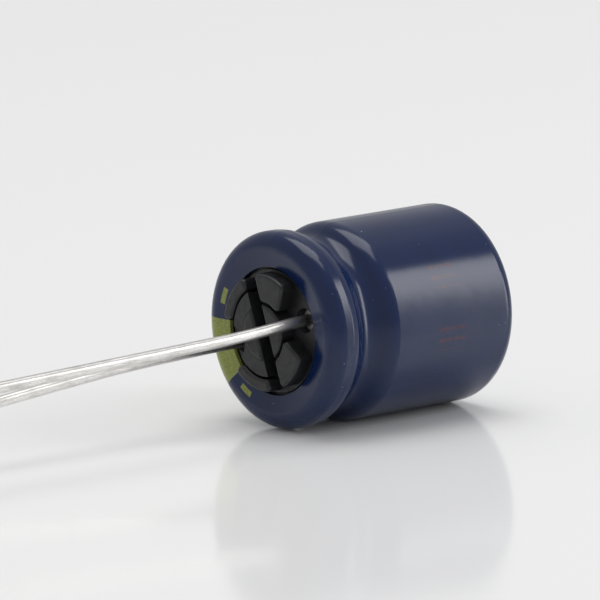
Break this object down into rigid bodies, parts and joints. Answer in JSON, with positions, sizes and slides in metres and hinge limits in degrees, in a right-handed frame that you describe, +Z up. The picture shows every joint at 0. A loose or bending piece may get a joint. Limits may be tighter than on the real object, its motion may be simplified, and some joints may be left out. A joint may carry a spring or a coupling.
{
  "type": "electrolytic capacitor",
  "caption": "Radial electrolytic capacitor lying on its side: sleeved aluminium can, grooved and rolled over a rubber seal, with bent wire leads.",
  "frame": {"origin": "on the can's axis, in the seating plane at the tops of the rubber pads, midway between the two leads", "axes": "+X along the can's axis towards its closed end, +Z up; the part lies on its side on the surface at z = -5.2 mm"},
  "size_m": [0.0411, 0.0104, 0.0104],
  "materials": {
    "sleeve": "shrunk PVC film, deep navy with a yellow-green polarity stripe, glossy",
    "can": "drawn aluminium, satin",
    "rubber": "moulded black rubber, satin",
    "tinned_wire": "tinned wire, soft shine",
    "tab_metal": "pressed aluminium",
    "anode_foil": "etched and formed foil, matt grey",
    "cathode_foil": "etched foil, matt",
    "paper": "electrolyte-soaked kraft paper",
    "tape": "polypropylene tape"
  },
  "bodies": {
    "root": {"sleeve": "sleeve", "can": "can", "end_seal": "rubber", "anode_lead_wire": "tinned_wire", "cathode_lead_wire": "tinned_wire", "anode_tab": "tab_metal", "cathode_tab": "tab_metal", "anode_foil": "anode_foil", "cathode_foil": "cathode_foil", "separator_inner": "paper", "separator_outer": "paper", "winding_tape": "tape"}
  },
  "joints": []
}
